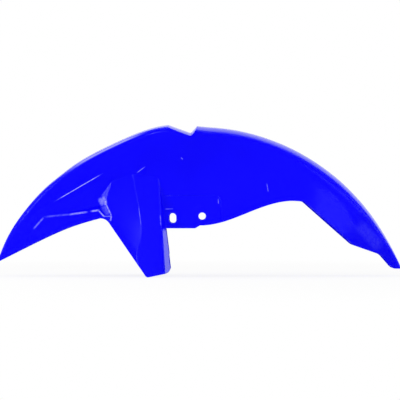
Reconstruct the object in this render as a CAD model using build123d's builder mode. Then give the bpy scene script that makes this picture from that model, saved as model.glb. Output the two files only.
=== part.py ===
"""Front mudguard of a small motorcycle: one moulded plastic shell over the wheel.

The frame is the fork's: the origin is the axis of the round bolt holes, on the centre plane.
X runs back along the motorcycle, so the beak points to -X, Y is across it and Z is up.
All lengths are millimetres and all angles degrees.
"""

from build123d import *
from math import atan2, cos, degrees, hypot, pi, radians, sin, sqrt
import os

# Wall of the moulding, the same all over
wall = 2.6

# Arch over the wheel: angles are taken at the axle, from straight up, positive to the rear
axle_x = -9.0
crown_top_z = 143.0
crown_radius = 346.8
axle_z = crown_top_z - crown_radius
front_crown_drop = 0.8
rear_cross_radius = 190.0
front_cross_radius = 420.0
cross_angles = (0.0, -12.0)
section_foot_radius = 90.0
section_count = 23
section_gathering = 0.4
section_reach = 0.985

# Half width of the crown, and how it closes to the beak and to the tail
crown_half_width = 58.0
beak_angle = -69.0
beak_fullness = 3.0
beak_closing = 0.75
beak_swell = 1.2
beak_swell_angles = (-30.0, -50.0)
beak_droop = 2.6
beak_droop_angle = -57.0
tail_angle = 71.8
tail_fullness = 5.0
tail_closing = 0.55
tail_rise = 2.0
tail_rise_angle = 58.0

# Side walls: an upper and a lower strip meet at a crease below the crown, and lean outwards
rear_crease_depth = 28.0
front_crease_depth = 37.0
beak_crease_depth = 20.0
front_crease_angles = (12.0, -12.0)
beak_crease_angles = (-31.0, -54.0)
wall_lean = 0.04
beak_upper_lean = 0.24
beak_lower_lean = 0.0
beak_lean_angles = (-18.0, -42.0)
tail_lower_lean = 0.26
tail_lean_angles = (26.0, 50.0)
shoulder_blend = 8.0
shoulder_flat_share = 0.2
crease_blend = 4.0

# Crest of the front crown, and the groove across the crown behind it
crest_angle = -7.97
crest_rise = 6.6
crest_start_angle = -25.0
crest_end_angle = 3.0
groove_angle = -1.55
groove_depth = 10.0
groove_rear_angle = 0.0
groove_front_lift = 1.8
groove_bottom_fillet = 3.0
groove_cross_radius = 300.0
groove_swing = 12.0

# Bolt pads, set into the side walls, with bosses inside round their holes
pad_half_width = 61.0
pad_front_x = -70.0
pad_rear_x = 28.5
pad_top_z = 32.0
pad_corner = 8.0
pad_edge_draft = 45.0
bolt_hole_radius = 5.9
slot_x = -46.8
slot_z = -3.0
slot_width = 11.5
slot_height = 16.0
boss_margin = 5.0
boss_height = 1.6

# Flared sides: the lip of the beak and the fork covers lean out from a line on the wall
flare_lean = 0.3
flare_drop_beak = 31.0
flare_drop_fork = 54.0
flare_angles = (-48.0, -24.0)
flare_front_angle = -66.0
flare_rear_angle = -5.0
flare_count = 9
leg_half_width = 79.3
leg_edge_round = 4.0
leg_ridge_round = 16.0
scoop_rim_round = 4.6
return_foot = (-57.9, -21.3)
return_slant = -0.125
return_draft = 0.2

# Scoop in the beak's side: a ledge on top of the lip, a gusset into the fork cover, and a valley between them
lip_front = (-256.3, -1.4)
lip_rear = (-164.3, 10.1)
lip_draft = 0.55
valley_end = (-143.5, -7.0)
valley_draft = 0.5
gusset_low = (-152.6, 20.2)
gusset_high = (-144.3, 51.4)
gusset_draft = 1.6

# Lower edges, seen from the side
beak_edge_start = (axle_x - crown_radius, -88.4)
beak_edge_bend = (-220.4, -18.7)
beak_edge_corner = (-153.7, -1.0)
beak_corner_round = 16.0
leg_front_foot = (-87.3, -96.2)
leg_rear_foot = (-50.5, -88.5)
leg_rear_slant = 10.0
leg_front_round = 5.0
leg_rear_round = 8.0
pad_edge_z = -19.0
pad_edge_rear_x = -11.0
skirt_start = (-3.5, -14.5)
skirt_low_pull = (48.0, -15.0)
skirt_high_pull = (92.0, 24.5)
skirt_end = (145.0, 24.4)
skirt_corner = (161.0, 23.5)
tail_corner = (239.0, -45.5)
tail_bend = (284.0, -61.3)
tail_tip = (303.0, -83.7)
tail_edge_rounds = [8.0, 14.0, 14.0, 12.0]

# Spare length of the forms that cut, past the surface they cut
trim_margin = 40.0
trim_half_width = 180.0


def smooth_share(value, start, end):
    share = min(1.0, max(0.0, (value - start) / (end - start)))
    return share * share * (3 - 2 * share)


def stepped(start, end, length):
    size = hypot(end[0] - start[0], end[1] - start[1])
    return tuple(a + (b - a) * length / size for a, b in zip(start, end))


def between(start, end):
    return tuple((a + b) / 2 for a, b in zip(start, end))


def crown_at(angle):
    falling = smooth_share(angle, crest_angle, crest_end_angle)
    base = crown_radius - front_crown_drop * (1 - falling)
    crest = crest_rise * smooth_share(angle, crest_start_angle, crest_angle) * (1 - falling)
    tail = tail_rise * smooth_share(angle, tail_rise_angle, tail_angle)
    beak = beak_swell * smooth_share(angle, *beak_swell_angles)
    return base + crest + tail + beak - beak_droop * smooth_share(angle, beak_droop_angle, beak_angle)


def half_width_at(angle):
    if angle < 0:
        return crown_half_width * (1 - (angle / beak_angle) ** beak_fullness) ** beak_closing
    return crown_half_width * (1 - (angle / tail_angle) ** tail_fullness) ** tail_closing


def arch_point(angle, radius):
    return (axle_x + radius * sin(radians(angle)), axle_z + radius * cos(radians(angle)))


def arch_plane(angle):
    along = (cos(radians(angle)), 0, -sin(radians(angle)))
    return Plane(origin=(axle_x, 0, axle_z), x_dir=(0, 1, 0), z_dir=along)


def cross_radius_at(angle):
    return rear_cross_radius + (front_cross_radius - rear_cross_radius) * smooth_share(angle, *cross_angles)


def crease_depth_at(angle):
    front = (front_crease_depth - rear_crease_depth) * smooth_share(angle, *front_crease_angles)
    beak = (beak_crease_depth - front_crease_depth) * smooth_share(angle, *beak_crease_angles)
    return rear_crease_depth + front + beak


def wall_points(angle, inset):
    """Crown radius, and the corners of half a cross-section as (half width, radius) from there down."""
    top = crown_at(angle) - inset
    half = half_width_at(angle) - inset
    cross = cross_radius_at(angle) - inset
    blend = min(shoulder_blend - inset, half / 2)
    to_beak = smooth_share(angle, *beak_lean_angles)
    to_tail = smooth_share(angle, *tail_lean_angles)
    upper_lean = wall_lean + (beak_upper_lean - wall_lean) * to_beak
    lower_lean = wall_lean + (beak_lower_lean - wall_lean) * to_beak + (tail_lower_lean - wall_lean) * to_tail
    crease_radius = crown_at(angle) - crease_depth_at(angle)
    shoulder = (half, top - cross + sqrt(cross**2 - half**2))
    crown_edge = (half - blend, top - cross + sqrt(cross**2 - (half - blend) ** 2))
    crease = (half + (shoulder[1] - crease_radius) * upper_lean, crease_radius)
    foot = (crease[0] + (crease_radius - section_foot_radius) * lower_lean, section_foot_radius)
    return top, crown_edge, shoulder, stepped(shoulder, crease, blend), crease, foot


def rounded(start, corner, end):
    """Two rounds that take the corner off between start and end, with a narrow flat between them."""
    near = between(start, corner)
    far = between(corner, end)
    round_length = hypot(far[0] - near[0], far[1] - near[1]) * (1 - shoulder_flat_share) / 2
    flat_start = stepped(near, far, round_length)
    flat_end = stepped(far, near, round_length)
    Bezier(start, near, flat_start)
    Line(flat_start, flat_end)
    Bezier(flat_end, far, end)


def channel_face(angle, inset):
    top, crown_edge, shoulder, wall_edge, crease, foot = wall_points(angle, inset)
    above = stepped(crease, shoulder, crease_blend)
    below = stepped(crease, foot, crease_blend)

    def other_side(point):
        return (-point[0], point[1])

    with BuildSketch(arch_plane(angle)) as face:
        with BuildLine():
            Line(foot, below)
            Bezier(below, crease, above)
            Line(above, wall_edge)
            rounded(wall_edge, shoulder, crown_edge)
            Bezier(crown_edge, (0, 2 * top - crown_edge[1]), other_side(crown_edge))
            rounded(other_side(crown_edge), other_side(shoulder), other_side(wall_edge))
            Line(other_side(wall_edge), other_side(above))
            Bezier(other_side(above), other_side(crease), other_side(below))
            Line(other_side(below), other_side(foot))
            Line(other_side(foot), foot)
        make_face()
    return face.sketch.face()


def channel_form(inset):
    """Solid under the crown and between the walls, drawn in from the outside by inset."""
    middle = (beak_angle + tail_angle) / 2
    reach = (tail_angle - beak_angle) / 2 * section_reach
    shares = [2 * i / (section_count - 1) - 1 for i in range(section_count)]
    gathered = [share + section_gathering * (sin(share * pi / 2) - share) for share in shares]
    angles = [middle + reach * share for share in gathered]
    groove_radius = crown_radius - groove_depth
    groove_axis_z = axle_z + groove_radius - groove_cross_radius

    def above_axis(angle, radius):
        x, z = arch_point(angle, radius)
        return (x, z - groove_axis_z)

    bottom = above_axis(groove_angle, groove_radius)
    crest = above_axis(crest_angle, crown_at(crest_angle) + groove_front_lift)
    rear = above_axis(groove_rear_angle, crown_radius)
    groove_plane = Plane(
        origin=(0, 0, groove_axis_z),
        x_dir=(1, 0, 0),
        z_dir=(0, -cos(radians(groove_swing)), sin(radians(groove_swing))),
    )
    with BuildPart() as form:
        loft([channel_face(angle, inset) for angle in angles])
        with BuildSketch(groove_plane) as groove:
            with BuildLine():
                Polyline(
                    stepped(bottom, crest, 2 * trim_margin),
                    bottom,
                    stepped(bottom, rear, 2 * trim_margin),
                    close=True,
                )
            make_face()
            fillet(groove.vertices().sort_by_distance(bottom)[0], groove_bottom_fillet)
            if inset:
                offset(amount=inset, kind=Kind.INTERSECTION)
        groove_axis = Axis((0, 0, groove_axis_z), (1, 0, 0))
        revolve(axis=groove_axis, revolution_arc=2 * groove_swing, mode=Mode.SUBTRACT)
        with BuildSketch(Plane.XZ.offset(pad_half_width - inset)) as pad:
            with BuildLine():
                Polyline(
                    (pad_front_x - inset, pad_edge_z - trim_margin),
                    (pad_front_x - inset, pad_top_z + inset),
                    (pad_rear_x + inset, pad_top_z + inset),
                    (pad_rear_x + inset, pad_edge_z - trim_margin),
                    close=True,
                )
            make_face()
            fillet(pad.vertices().group_by(Axis.Y)[-1], pad_corner)
        recess = extrude(amount=trim_margin, taper=-pad_edge_draft, mode=Mode.SUBTRACT)
        mirror(recess, about=Plane.XZ, mode=Mode.SUBTRACT)
    return form.part


def flare_start(angle):
    drop = flare_drop_beak + (flare_drop_fork - flare_drop_beak) * smooth_share(angle, *flare_angles)
    return crown_radius - front_crown_drop - drop


def crease_half_width(angle):
    return wall_points(angle, 0)[4][0]


def flare_half_width(angle, radius):
    return crease_half_width(angle) + flare_lean * (flare_start(angle) - radius)


def flare_face(angle, inset, depth):
    slide = inset * sqrt(1 + flare_lean**2)
    top_radius = flare_start(angle) + wall
    inner = crease_half_width(angle) - depth
    with BuildSketch(arch_plane(angle)) as face:
        with BuildLine():
            Polyline(
                (-inner, top_radius),
                (slide - flare_half_width(angle, top_radius), top_radius),
                (slide - flare_half_width(angle, section_foot_radius), section_foot_radius),
                (-inner, section_foot_radius),
                close=True,
            )
        make_face()
    return face.sketch.face()


def on_flare(point):
    """Point of the left flared side that is seen at this (x, z)."""
    back, up = point[0] - axle_x, point[1] - axle_z
    return Vector(point[0], -flare_half_width(degrees(atan2(back, up)), hypot(back, up)), point[1])


def slanted_plane(origin, along, across, inset):
    normal = Vector(along).cross(Vector(across)).normalized()
    return Plane(origin=Vector(origin) - normal * inset, x_dir=along, z_dir=normal)


def scoop_block(start, end, draft, inset):
    """Block on the left of the way from start to end over the flared side, with a drafted face along it."""
    run, rise = end[0] - start[0], end[1] - start[1]
    across = (-draft * rise / hypot(run, rise), 1, draft * run / hypot(run, rise))
    face_plane = slanted_plane(on_flare(start), on_flare(end) - on_flare(start), across, inset)
    with BuildPart() as block:
        with Locations((beak_edge_start[0], 0, 0)):
            Box(2 * crown_radius, 2 * crown_radius, 2 * crown_radius)
        split(bisect_by=face_plane, keep=Keep.TOP)
    return block.part


def scoop_form(inset):
    with BuildPart() as before_cover:
        add(scoop_block(valley_end, gusset_low, valley_draft, inset))
        add(scoop_block(gusset_low, gusset_high, gusset_draft, inset))
    with BuildPart() as scoop:
        add(scoop_block(lip_front, lip_rear, lip_draft, inset))
        add(scoop_block(lip_rear, valley_end, valley_draft, inset))
        add(before_cover.part, mode=Mode.INTERSECT)
    return scoop.part


def leg_edges(form):
    """The two long edges of the leg's flat side, the front one first."""
    side = form.faces().filter_by(GeomType.PLANE).sort_by_distance((leg_front_foot[0], -leg_half_width, 0))[0]
    return side.edges().sort_by(SortBy.LENGTH)[-2:].sort_by(Axis.X)


def flare_form(inset):
    """Solid inside the left flared side, with the scoop taken out of it, drawn in by inset."""
    depth = trim_margin if inset else wall
    return_low = (return_foot[0], -pad_half_width, return_foot[1])
    return_plane = slanted_plane(return_low, (return_slant, 0, 1), (-return_draft, -1, 0), inset)
    leg_plane = slanted_plane((0, -leg_half_width, 0), (1, 0, 0), (0, flare_lean, 1), inset)
    span = flare_rear_angle - flare_front_angle
    angles = [flare_front_angle + span * i / (flare_count - 1) for i in range(flare_count)]
    with BuildPart() as form:
        loft([flare_face(angle, inset, depth) for angle in angles])
        split(bisect_by=return_plane, keep=Keep.BOTTOM)
        split(bisect_by=leg_plane, keep=Keep.BOTTOM)
        add(scoop_form(inset), mode=Mode.SUBTRACT)
        lip_middle = on_flare(between(lip_front, lip_rear))
        fillet(form.edges().sort_by_distance(lip_middle)[0], scoop_rim_round - inset)
        fillet(leg_edges(form)[0], leg_ridge_round - inset)
        fillet(leg_edges(form)[-1], leg_edge_round - inset)
    return form.part


channel_outside = channel_form(0)
channel_inside = channel_form(wall)
flare_outside = flare_form(0)
flare_inside = flare_form(wall)

# Left fork cover and lip, cut to their outline
with BuildPart() as cover:
    add(flare_outside)
    with BuildSketch(Plane.XZ) as cover_outline:
        with BuildLine():
            Bezier(beak_edge_start, beak_edge_bend, beak_edge_bend, beak_edge_corner)
            Polyline(
                beak_edge_corner,
                leg_front_foot,
                leg_rear_foot,
                (leg_rear_foot[0] + leg_rear_slant, crown_radius),
                (beak_edge_start[0], crown_radius),
                beak_edge_start,
            )
        make_face()
        fillet(cover_outline.vertices().sort_by_distance(beak_edge_corner)[0], beak_corner_round)
        fillet(cover_outline.vertices().sort_by_distance(leg_front_foot)[0], leg_front_round)
        fillet(cover_outline.vertices().sort_by_distance(leg_rear_foot)[0], leg_rear_round)
    extrude(amount=trim_half_width, both=True, mode=Mode.INTERSECT)

# The moulding: channel and covers as one solid, hollowed from below, then the holes
with BuildPart() as mudguard:
    add(channel_outside)
    with BuildSketch(Plane.XZ):
        with BuildLine():
            tail_end = (axle_x + crown_radius + trim_margin, tail_tip[1])
            top = axle_z + crown_radius + trim_margin
            Bezier(beak_edge_start, beak_edge_bend, beak_edge_bend, beak_edge_corner)
            pad_edge_front = (return_foot[0], pad_edge_z)
            Polyline(beak_edge_corner, pad_edge_front, (pad_edge_rear_x, pad_edge_z), skirt_start)
            Bezier(skirt_start, skirt_low_pull, skirt_high_pull, skirt_end)
            tail_edge = (skirt_end, skirt_corner, tail_corner, tail_bend, tail_tip, tail_end)
            FilletPolyline(*tail_edge, radius=tail_edge_rounds)
            Polyline(tail_end, (tail_end[0], top), (beak_edge_start[0], top), beak_edge_start)
        make_face()
    extrude(amount=trim_half_width, both=True, mode=Mode.INTERSECT)
    add(cover.part)
    mirror(cover.part, about=Plane.XZ)
    add(channel_inside, mode=Mode.SUBTRACT)
    add(flare_inside, mode=Mode.SUBTRACT)
    mirror(flare_inside, about=Plane.XZ, mode=Mode.SUBTRACT)
    with BuildSketch(Plane.XZ.offset(pad_half_width - wall - boss_height)):
        Circle(bolt_hole_radius + boss_margin)
        with Locations((slot_x, slot_z)):
            SlotOverall(slot_height + 2 * boss_margin, slot_width + 2 * boss_margin, rotation=90)
    bosses = extrude(amount=boss_height + wall / 2)
    mirror(bosses, about=Plane.XZ)
    with BuildSketch(Plane.XZ):
        Circle(bolt_hole_radius)
        with Locations((slot_x, slot_z)):
            SlotOverall(slot_height, slot_width, rotation=90)
    extrude(amount=trim_half_width, both=True, mode=Mode.SUBTRACT)

mudguard.part.label = "mudguard"
os.makedirs("parts", exist_ok=True)
export_step(mudguard.part, "parts/mudguard.step")
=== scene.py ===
from math import cos, radians, sin

import bpy
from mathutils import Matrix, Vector


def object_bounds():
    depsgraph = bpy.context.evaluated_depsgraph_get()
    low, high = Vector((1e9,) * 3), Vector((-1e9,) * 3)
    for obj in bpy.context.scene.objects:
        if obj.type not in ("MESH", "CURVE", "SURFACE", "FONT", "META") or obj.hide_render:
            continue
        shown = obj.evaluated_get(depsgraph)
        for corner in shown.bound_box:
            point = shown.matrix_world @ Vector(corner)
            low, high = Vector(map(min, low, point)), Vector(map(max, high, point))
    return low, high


# The frame's X runs back along the motorcycle, Y across it and Z up, all in metres
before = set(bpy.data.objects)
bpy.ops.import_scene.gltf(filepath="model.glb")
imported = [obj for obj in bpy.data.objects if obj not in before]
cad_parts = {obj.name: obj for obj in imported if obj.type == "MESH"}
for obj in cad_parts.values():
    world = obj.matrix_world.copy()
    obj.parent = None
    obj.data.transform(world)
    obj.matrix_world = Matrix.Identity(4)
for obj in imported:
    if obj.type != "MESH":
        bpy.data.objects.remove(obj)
cad_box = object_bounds()


# Mudguard
# One injection-moulded shell of blue plastic, coloured right through and glossy from a polished mould.
# Its inner side comes off the mould's core, which is spark-eroded, so it is duller and finely grained.
# Its edges are worn pale, partly as painted highlights, and painted glints and a painted sheen lie on its
# crests, creases and tail.

class Shade:
    """A socket of a node tree, so that shader maths reads as Python."""

    def __init__(self, tree, socket=None):
        self.tree = tree
        self.socket = socket

    def node(self, kind, settings=None, sockets=None, output=0):
        """Adds a node, sets its settings, then fills its sockets with numbers, colours or links."""
        made = self.tree.nodes.new(kind)
        for name, value in (settings or {}).items():
            setattr(made, name, value)
        for name, value in (sockets or {}).items():
            if isinstance(value, Shade):
                self.tree.links.new(value.socket, made.inputs[name])
            else:
                made.inputs[name].default_value = value
        return Shade(self.tree, made.outputs[output] if made.outputs else None)

    def math(self, operation, *inputs):
        return self.node("ShaderNodeMath", {"operation": operation}, dict(enumerate(inputs)))

    def vector(self, operation, *inputs):
        """Vector Math, which gives a plain value for a dot product, a length or a distance."""
        output = "Value" if operation in ("DOT_PRODUCT", "LENGTH", "DISTANCE") else "Vector"
        return self.node("ShaderNodeVectorMath", {"operation": operation}, dict(enumerate(inputs)), output)

    def __add__(self, other):
        return self.math("ADD", self, other)

    def __radd__(self, other):
        return self.math("ADD", other, self)

    def __sub__(self, other):
        return self.math("SUBTRACT", self, other)

    def __rsub__(self, other):
        return self.math("SUBTRACT", other, self)

    def __mul__(self, other):
        return self.math("MULTIPLY", self, other)

    def __rmul__(self, other):
        return self.math("MULTIPLY", other, self)


def fresh_tree(holder):
    """Empties the node tree of a material or world and returns a Shade to draw in it."""
    holder.use_nodes = True
    holder.node_tree.nodes.clear()
    return Shade(holder.node_tree)


def coordinate(shade, vector, axis):
    return shade.node("ShaderNodeSeparateXYZ", {}, {"Vector": vector}, axis)


def ramp(shade, value, low, high):
    """0 where value is low or less, 1 where it is high or more, smooth between."""
    return shade.node(
        "ShaderNodeMapRange",
        {"interpolation_type": "SMOOTHSTEP"},
        {"Value": value, "From Min": low, "From Max": high},
    )


def band(shade, value, low, full, ease, high):
    """1 where value is from full to ease, 0 where it is low or less or high or more, smooth between."""
    return ramp(shade, value, low, full) - ramp(shade, value, ease, high)


def noise(shade, place, scale, detail):
    return shade.node("ShaderNodeTexNoise", {}, {"Vector": place, "Scale": scale, "Detail": detail})


def patches(shade, place, scale, detail, low, high):
    """Uneven patches, 1 in the patches and 0 between them."""
    return ramp(shade, noise(shade, place, scale, detail), low, high)


def blend(shade, share, first, second):
    """The first colour where share is 0, the second where it is 1."""
    return shade.node(
        "ShaderNodeMix",
        {"data_type": "RGBA"},
        {"Factor": share, "A": first, "B": second},
        "Result",
    )


# The inner side is where the surface faces the axle, which the crown is an arc about, or the centre plane.
# Two values such as INNER_TURN are a ramp's low and high, and four are a band's.
AXLE = (-0.009, 0.0, -0.2038)
AXLE_SHARE = 0.8
INNER_TURN = (-0.35, 0.0)


def inner_side(shade, place, normal, facing):
    sideways = coordinate(shade, normal, "Y") * shade.math("SIGN", coordinate(shade, place, "Y"))
    return 1 - ramp(shade, facing * AXLE_SHARE + sideways, *INNER_TURN)


# Edges, found by how far the rounded normal turns from the true one, are painted pale in patches where
# they
# stand out in the open: edge wear, with painted edge highlights along with it
EDGE_ROUND = 0.0012
EDGE_SAMPLES = 8
EDGE_TURN = (0.02, 0.2)
OPEN_AIR_REACH = 0.004
OPEN_AIR_SHARE = (0.8, 0.97)
EDGE_PATCHES = {"scale": 60.0, "detail": 3.0, "low": 0.48, "high": 0.7}
EDGE_WEAR_AND_HIGHLIGHT = 0.6


def edge_wear_and_highlight(shade, place, normal, rounded):
    turn = 1 - shade.vector("DOT_PRODUCT", normal, rounded)
    open_air = shade.node(
        "ShaderNodeAmbientOcclusion",
        {"samples": EDGE_SAMPLES, "only_local": True},
        {"Distance": OPEN_AIR_REACH},
        "AO",
    )
    raised = ramp(shade, turn, *EDGE_TURN) * ramp(shade, open_air, *OPEN_AIR_SHARE)
    return raised * patches(shade, place, **EDGE_PATCHES) * EDGE_WEAR_AND_HIGHLIGHT


# The front stretch of the shoulder, where the crown rolls into the wall, gets a pale painted highlight
# band.
# Its reach from the axle is measured in the side view, without the width.
SIDE_VIEW = (1.0, 0.0, 1.0)
SHOULDER_FACING = (0.6, 0.85, 0.94, 0.985)
SHOULDER_REACH = (0.32, 0.33)
SHOULDER_STRETCH = (-0.225, -0.175, -0.125, -0.085)
SHOULDER_HIGHLIGHT = 0.6


def painted_shoulder_highlight(shade, side_place, facing):
    reach = shade.vector("DISTANCE", side_place, AXLE)
    rolled = band(shade, facing, *SHOULDER_FACING) * ramp(shade, reach, *SHOULDER_REACH)
    stretch = band(shade, coordinate(shade, side_place, "X"), *SHOULDER_STRETCH)
    return rolled * stretch * SHOULDER_HIGHLIGHT


# Each painted glint or sheen has its two ends seen from the side, its half width and how pale it is
# painted
PAINTED_GLINTS = {
    "beak_crease": ((-0.2355, 0.0226), (-0.1555, 0.0690), 0.0007, 0.9),
    "lip_front": ((-0.2691, -0.0214), (-0.2505, -0.0006), 0.0018, 0.3),
    "lip_middle": ((-0.2540, -0.0012), (-0.2000, 0.0042), 0.0018, 0.15),
    "lip_rear": ((-0.2130, 0.0024), (-0.1795, 0.0073), 0.0020, 0.55),
    "lip_end": ((-0.1775, 0.0077), (-0.1610, 0.0101), 0.0020, 0.55),
    "valley_lip": ((-0.1640, 0.0098), (-0.1540, -0.0013), 0.0014, 0.7),
    "valley_gusset": ((-0.1530, 0.0215), (-0.1425, -0.0010), 0.0013, 0.65),
    "valley_floor": ((-0.1580, 0.0170), (-0.1465, 0.0020), 0.0060, 0.25),
    "valley_foot": ((-0.1570, 0.0000), (-0.1415, 0.0000), 0.0013, 0.6),
    "valley_heel": ((-0.1432, 0.0015), (-0.1450, -0.0080), 0.0017, 0.5),
    "gusset_highlight": ((-0.1640, 0.0210), (-0.1510, 0.0271), 0.0080, 0.5),
    "gusset_core": ((-0.1532, 0.0262), (-0.1528, 0.0165), 0.0028, 0.75),
    "fork_cover_ridge": ((-0.1003, 0.0162), (-0.0963, -0.0158), 0.0005, 0.4),
    "fork_cover_rear": ((-0.0664, 0.0034), (-0.0651, -0.0158), 0.0006, 0.5),
    "tail_sheen": ((0.2440, -0.0090), (0.2870, -0.0540), 0.0130, 0.04),
}
# Short painted glints, on the left side only
LEFT_PAINTED_GLINTS = {
    "over_fork_cover": ((-0.1045, 0.0680), (-0.0895, 0.0792), 0.0006, 0.5),
    "over_slot": ((-0.0600, 0.0115), (-0.0445, 0.0118), 0.0007, 0.45),
    "behind_pad": ((0.0252, 0.0280), (0.0258, 0.0190), 0.0007, 0.6),
    "rear_wall": ((0.1019, 0.0533), (0.1046, 0.0380), 0.0006, 0.5),
    "under_groove": ((-0.0338, 0.0932), (-0.0308, 0.0900), 0.0011, 0.6),
}
LEFT_SIDE = (-0.01, 0.0)
END_FADE = 0.25
CORE_SHARE = 0.3
GLINT_BREAKUP_PATCHES = {"scale": 300.0, "detail": 2.0, "low": 0.3, "high": 0.6}
GLINT_BREAKUP_LEAST = 0.35


def painted_glint_line(shade, side_place, start, end, half_width, pale):
    """Pale on the straight line between two points seen from the side, fading to 0 at its ends."""
    first = Vector((start[0], 0.0, start[1]))
    last = Vector((end[0], 0.0, end[1]))
    length = (last - first).length
    way = (last - first) / length
    from_first = shade.vector("SUBTRACT", side_place, first)
    run = shade.vector("DOT_PRODUCT", from_first, way)
    off = shade.vector("LENGTH", shade.vector("CROSS_PRODUCT", from_first, way))
    fade = length * END_FADE
    ends = band(shade, run, 0.0, fade, length - fade, length)
    return (1 - ramp(shade, off, half_width * CORE_SHARE, half_width)) * ends * pale


def painted_glint_lines(shade, place, side_place, inside):
    """The painted glints of both sides and of the left one only, broken up unevenly, on the outside only.
    """
    left = 1 - ramp(shade, coordinate(shade, place, "Y"), *LEFT_SIDE)
    lines = [painted_glint_line(shade, side_place, *crest) for crest in PAINTED_GLINTS.values()]
    lines += [painted_glint_line(shade, side_place, *mark) * left for mark in LEFT_PAINTED_GLINTS.values()]
    painted_highlights_and_wear = lines[0]
    for line in lines[1:]:
        painted_highlights_and_wear = shade.math("MAXIMUM", painted_highlights_and_wear, line)
    glint_breakup = GLINT_BREAKUP_LEAST + (1 - GLINT_BREAKUP_LEAST) * patches(shade, place, **GLINT_BREAKUP_PATCHES)
    return painted_highlights_and_wear * glint_breakup * (1 - inside)


# Pigment drifts along the flow of the melt, and handling leaves faint hairline marks
DEEP_BLUE = (0.002, 0.0, 0.9, 1.0)
CLEAR_BLUE = (0.003, 0.0005, 1.0, 1.0)
WEAR_AND_HIGHLIGHT_BLUE = (0.5, 0.5, 1.0, 1.0)
PIGMENT_DRIFT = {"scale": 7.0, "detail": 2.0, "low": 0.3, "high": 0.7}
HAIRLINES = {"scale": 1.0, "detail": 1.0, "low": 0.62, "high": 0.72}
HAIRLINE_SCALE = (40.0, 40.0, 900.0)
HAIRLINE_TURN = (0.3, 0.7, 0.0)

# The polished outside has a faint ripple, the grained inside a fine tooth
RIPPLE = {"scale": 25.0, "detail": 0.0}
RIPPLE_SHARE = 0.25
GRAIN = {"scale": 1400.0, "detail": 3.0}
BUMP_STRENGTH = 0.12
BUMP_DEPTH = 0.0004
POLISHED_ROUGHNESS = 0.13
HAIRLINE_ROUGHNESS = 0.07
WEAR_AND_HIGHLIGHT_ROUGHNESS = 0.2
GRAINED_ROUGHNESS = 0.32
SPECULAR_LEVEL = 0.05


def moulded_plastic():
    material = bpy.data.materials.new("moulded_blue_plastic")
    shade = fresh_tree(material)
    place = shade.node("ShaderNodeTexCoord", output="Object")
    side_place = shade.vector("MULTIPLY", place, SIDE_VIEW)
    normal = shade.node("ShaderNodeNewGeometry", output="Normal")
    rounded = shade.node("ShaderNodeBevel", {"samples": EDGE_SAMPLES}, {"Radius": EDGE_ROUND})
    outward = shade.vector("NORMALIZE", shade.vector("SUBTRACT", place, AXLE))
    facing = shade.vector("DOT_PRODUCT", normal, outward)
    inside = inner_side(shade, place, normal, facing)

    # Edge wear with painted edge highlights, a painted shoulder highlight and painted glints make one pale
    # mask
    edges = edge_wear_and_highlight(shade, place, normal, rounded)
    shoulder = painted_shoulder_highlight(shade, side_place, facing)
    lines = painted_glint_lines(shade, place, side_place, inside)
    painted_highlights_and_wear = shade.math("MAXIMUM", shade.math("MAXIMUM", edges, shoulder), lines)

    flow = blend(shade, patches(shade, place, **PIGMENT_DRIFT), DEEP_BLUE, CLEAR_BLUE)
    stretched = shade.node(
        "ShaderNodeMapping",
        {},
        {"Vector": place, "Scale": HAIRLINE_SCALE, "Rotation": HAIRLINE_TURN},
    )
    hairlines = patches(shade, stretched, **HAIRLINES)
    roughness = POLISHED_ROUGHNESS + hairlines * HAIRLINE_ROUGHNESS
    roughness = roughness + painted_highlights_and_wear * WEAR_AND_HIGHLIGHT_ROUGHNESS + inside * GRAINED_ROUGHNESS

    ripple = noise(shade, place, **RIPPLE) * (1 - inside)
    grain = noise(shade, place, **GRAIN) * inside
    bumped = shade.node(
        "ShaderNodeBump",
        {},
        {
            "Height": ripple * RIPPLE_SHARE + grain,
            "Strength": BUMP_STRENGTH,
            "Distance": BUMP_DEPTH,
            "Normal": rounded,
        },
    )
    plastic = shade.node(
        "ShaderNodeBsdfPrincipled",
        {},
        {
            "Base Color": blend(shade, painted_highlights_and_wear, flow, WEAR_AND_HIGHLIGHT_BLUE),
            "Roughness": roughness,
            "Specular IOR Level": SPECULAR_LEVEL,
            "Normal": bumped,
        },
    )
    shade.node("ShaderNodeOutputMaterial", {}, {"Surface": plastic})
    return material


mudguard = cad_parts["mudguard"]
mudguard.data.materials.clear()
mudguard.data.materials.append(moulded_plastic())


# Floor
# A pale painted floor for the mudguard to stand on, wide enough to run out of sight.
# The camera and reflections see it near white, and it keeps a soft shadow.

FLOOR_HALF = 9.0
FLOOR_PAINT = (0.92, 0.92, 0.92, 1.0)
WHITE = (1.0, 1.0, 1.0, 1.0)
WHITE_STRENGTH = 1.0
FLOOR_GLOW = 0.85
FLOOR_FADE = (0.5, 1.6)


def seen_ray(shade):
    """1 for what the camera sees straight, in a reflection or through something clear, else 0."""
    straight = shade.node("ShaderNodeLightPath", output="Is Camera Ray")
    reflected = shade.node("ShaderNodeLightPath", output="Is Glossy Ray")
    through = shade.node("ShaderNodeLightPath", output="Is Transmission Ray")
    return shade.math("MINIMUM", straight + reflected + through, 1.0)


def floor_paint():
    material = bpy.data.materials.new("floor_paint")
    shade = fresh_tree(material)
    paint = shade.node("ShaderNodeBsdfDiffuse", {}, {"Color": FLOOR_PAINT})
    glow = shade.node("ShaderNodeEmission", {}, {"Color": WHITE, "Strength": WHITE_STRENGTH})
    place = shade.node("ShaderNodeTexCoord", output="Object")
    share = FLOOR_GLOW + (1 - FLOOR_GLOW) * ramp(shade, shade.vector("LENGTH", place), *FLOOR_FADE)
    mixed = shade.node("ShaderNodeMixShader", {}, {0: seen_ray(shade) * share, 1: paint, 2: glow})
    shade.node("ShaderNodeOutputMaterial", {}, {"Surface": mixed})
    return material


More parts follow.
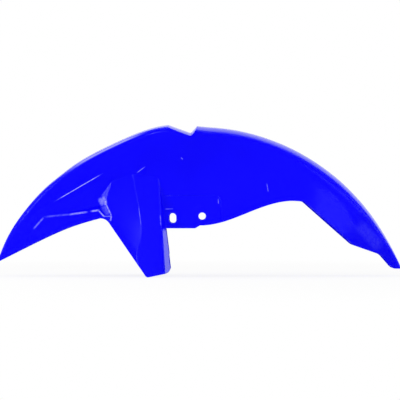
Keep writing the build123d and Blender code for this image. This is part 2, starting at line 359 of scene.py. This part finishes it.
floor_z = cad_box[0][2]
floor_corners = [
    (-FLOOR_HALF, -FLOOR_HALF, floor_z),
    (FLOOR_HALF, -FLOOR_HALF, floor_z),
    (FLOOR_HALF, FLOOR_HALF, floor_z),
    (-FLOOR_HALF, FLOOR_HALF, floor_z),
]
floor_mesh = bpy.data.meshes.new("floor")
floor_mesh.from_pydata(floor_corners, [], [(0, 1, 2, 3)])
floor_mesh.materials.append(floor_paint())
floor = bpy.data.objects.new("floor", floor_mesh)
bpy.context.scene.collection.objects.link(floor)


# Light
# A white room gives even light from all round, and six soft rectangular lamps face the mudguard.
# The large ones draw the pale bands along the crown, beak and tail.
# The two small ones draw the glints on the gusset and the leg.

ROOM_LEVEL = 0.55
MIDDLE = Vector((-0.0035, 0.0, 0.0258))

room = bpy.data.worlds.new("room")
bpy.context.scene.world = room
room_shade = fresh_tree(room)
room_strength = ROOM_LEVEL + seen_ray(room_shade) * (WHITE_STRENGTH - ROOM_LEVEL)
walls = room_shade.node("ShaderNodeBackground", {}, {"Color": WHITE, "Strength": room_strength})
room_shade.node("ShaderNodeOutputWorld", {}, {"Surface": walls})


def soft_lamp(name, aim, azimuth, elevation, distance, width, height, watts):
    """A rectangular lamp that faces a point of the mudguard, placed by its bearing and rise from there."""
    bearing = radians(azimuth)
    rise = radians(elevation)
    toward = Vector((sin(bearing) * cos(rise), -cos(bearing) * cos(rise), sin(rise)))
    data = bpy.data.lights.new(name, "AREA")
    data.shape = "RECTANGLE"
    data.size = width
    data.size_y = height
    data.energy = watts
    lamp = bpy.data.objects.new(name, data)
    lamp.location = Vector(aim) + toward * distance
    lamp.rotation_euler = (-toward).to_track_quat("-Z", "Y").to_euler()
    bpy.context.scene.collection.objects.link(lamp)


soft_lamp(
    "overhead", aim=MIDDLE, azimuth=-160.0, elevation=72.0,
    distance=1.7, width=2.4, height=1.6, watts=8.0,
)
soft_lamp(
    "front_corner", aim=(-0.2, -0.06, 0.02), azimuth=-62.0, elevation=18.0,
    distance=2.0, width=0.8, height=0.8, watts=15.0,
)
soft_lamp(
    "gusset_spot", aim=(-0.155, -0.065, 0.02), azimuth=-64.0, elevation=34.0,
    distance=2.0, width=0.25, height=0.25, watts=3.0,
)
soft_lamp(
    "leg_strip", aim=(-0.09, -0.09, -0.03), azimuth=-7.5, elevation=29.0,
    distance=2.4, width=0.05, height=0.3, watts=3.0,
)
soft_lamp(
    "rear_corner", aim=(0.2, -0.06, 0.0), azimuth=26.0, elevation=13.0,
    distance=2.6, width=1.2, height=0.9, watts=8.0,
)
soft_lamp(
    "rear_fill", aim=MIDDLE, azimuth=75.0, elevation=20.0,
    distance=2.4, width=1.2, height=1.2, watts=12.0,
)


# Camera
# A camera with a long lens, far enough off for the mudguard to show hardly any depth.
# It stands level with the mudguard's middle and square to its left side.

FRAME_WIDTH = 0.64
LENS = 300.0
SENSOR = 36.0
VIEW_END = 50.0
QUARTER_TURN = radians(90.0)

camera_data = bpy.data.cameras.new("camera")
camera_data.lens = LENS
camera_data.sensor_width = SENSOR
camera_data.clip_end = VIEW_END
camera = bpy.data.objects.new("camera", camera_data)
camera.location = MIDDLE - Vector((0.0, FRAME_WIDTH * LENS / SENSOR, 0.0))
camera.rotation_euler = (QUARTER_TURN, 0.0, 0.0)
bpy.context.scene.collection.objects.link(camera)
bpy.context.scene.camera = camera
bpy.context.scene.view_settings.view_transform = "Standard"
